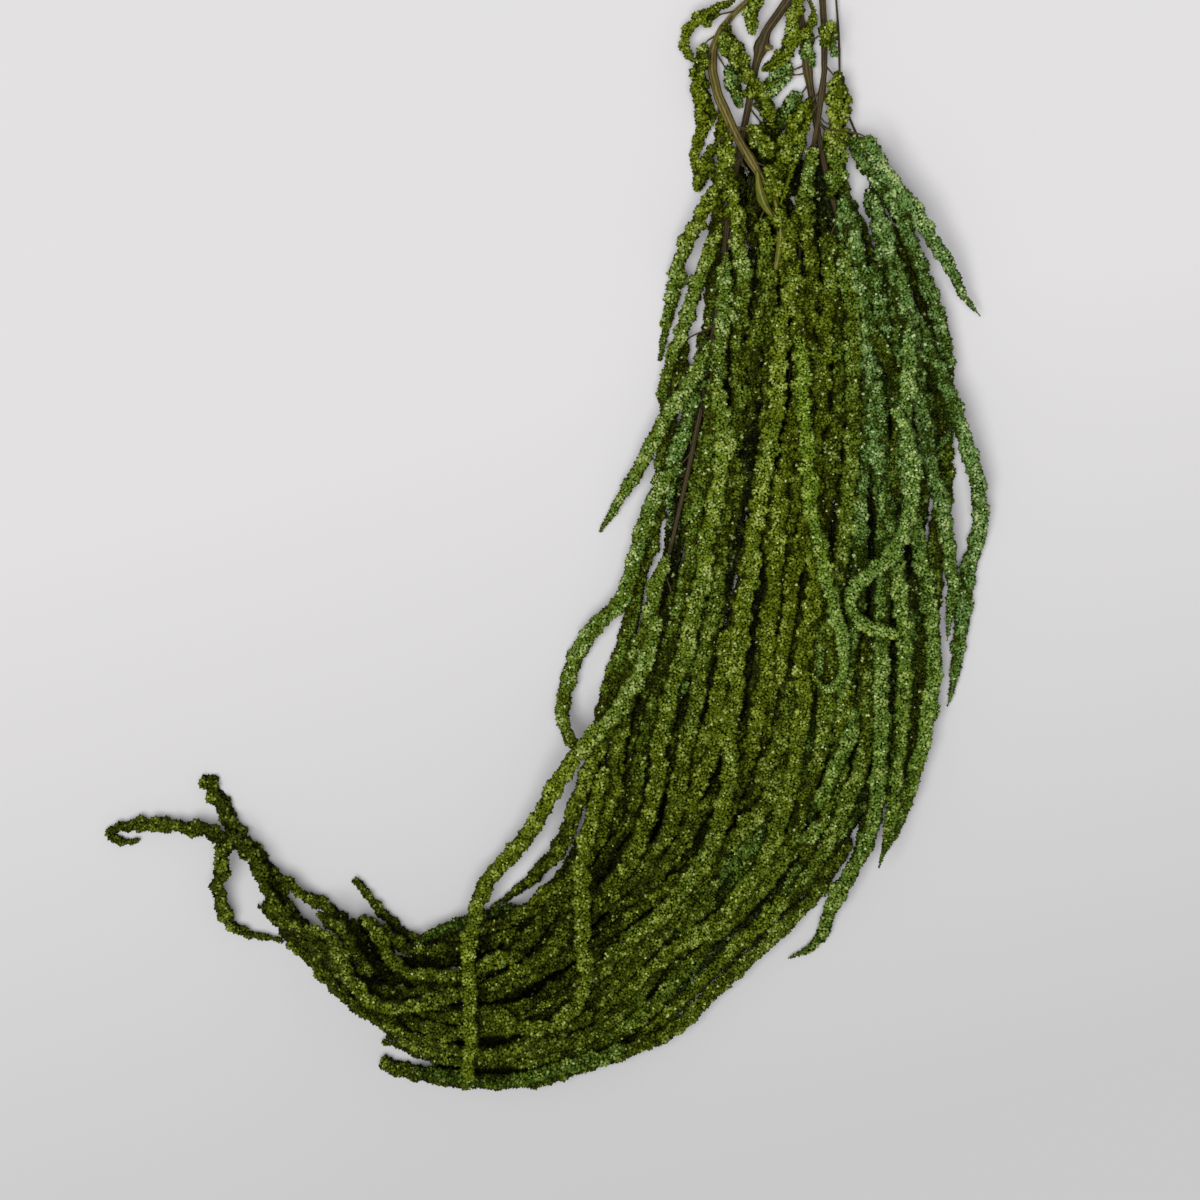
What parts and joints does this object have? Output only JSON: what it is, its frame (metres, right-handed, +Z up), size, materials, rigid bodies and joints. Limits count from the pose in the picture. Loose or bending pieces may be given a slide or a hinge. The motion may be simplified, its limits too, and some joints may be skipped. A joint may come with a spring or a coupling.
{
  "type": "amaranthus bunch",
  "caption": "Cut bunch of preserved green hanging amaranthus lying flat, long rope-like tassels swept into a crescent, stems held by a rubber band.",
  "frame": {"origin": "middle of the bunch's underside, on the surface that it lies on", "axes": "+Y points to the cut ends of the stems and runs along the longest side, +X to the right as the bunch is seen from above, +Z up"},
  "size_m": [0.4006, 0.6316, 0.0484],
  "materials": {
    "tassel_olive": "matte olive-green clusters of tiny flowers",
    "tassel_green": "matte cooler green clusters of tiny flowers",
    "tassel_dark": "matte dark olive clusters of tiny flowers",
    "stem_bark": "satin ridged woody stem, olive brown",
    "leaf_blade": "matte dry leaf, yellow-green",
    "band_rubber": "matte natural rubber, tan"
  },
  "bodies": {
    "root": {"leaf_1": "leaf_blade", "leaf_2": "leaf_blade", "leaf_3": "leaf_blade", "rubber_band": "band_rubber", "stem_1": "stem_bark", "stem_2": "stem_bark", "stem_3": "stem_bark", "stem_4": "stem_bark", "stem_5": "stem_bark", "tassel_curled_1": "tassel_olive", "tassel_curled_2": "tassel_olive", "tassel_curled_3": "tassel_olive", "tassel_curled_4": "tassel_olive", "tassel_curled_5": "tassel_olive", "tassel_inner_1": "tassel_olive", "tassel_inner_2": "tassel_olive", "tassel_inner_3": "tassel_olive", "tassel_inner_4": "tassel_olive", "tassel_inner_5": "tassel_olive", "tassel_inner_6": "tassel_olive", "tassel_looped_1": "tassel_green", "tassel_looped_2": "tassel_green", "tassel_looped_3": "tassel_green", "tassel_outer_1": "tassel_green", "tassel_outer_2": "tassel_green", "tassel_outer_3": "tassel_green", "tassel_outer_4": "tassel_green", "tassel_outer_5": "tassel_green", "tassel_outer_6": "tassel_green", "tassel_outer_7": "tassel_green", "tassel_over_1": "tassel_olive", "tassel_over_10": "tassel_olive", "tassel_over_2": "tassel_olive", "tassel_over_3": "tassel_olive", "tassel_over_4": "tassel_olive", "tassel_over_5": "tassel_olive", "tassel_over_6": "tassel_olive", "tassel_over_7": "tassel_olive", "tassel_over_8": "tassel_olive", "tassel_over_9": "tassel_olive", "tassel_tail_1": "tassel_dark", "tassel_tail_2": "tassel_dark", "tassel_tail_3": "tassel_dark", "tassel_tail_4": "tassel_dark", "tassel_tail_5": "tassel_dark", "tassel_tail_6": "tassel_dark", "tassel_tail_7": "tassel_dark", "tassel_tail_8": "tassel_dark", "tassel_under_1": "tassel_olive", "tassel_under_10": "tassel_olive", "tassel_under_11": "tassel_olive", "tassel_under_2": "tassel_olive", "tassel_under_3": "tassel_olive", "tassel_under_4": "tassel_olive", "tassel_under_5": "tassel_olive", "tassel_under_6": "tassel_olive", "tassel_under_7": "tassel_olive", "tassel_under_8": "tassel_olive", "tassel_under_9": "tassel_olive"}
  },
  "joints": []
}
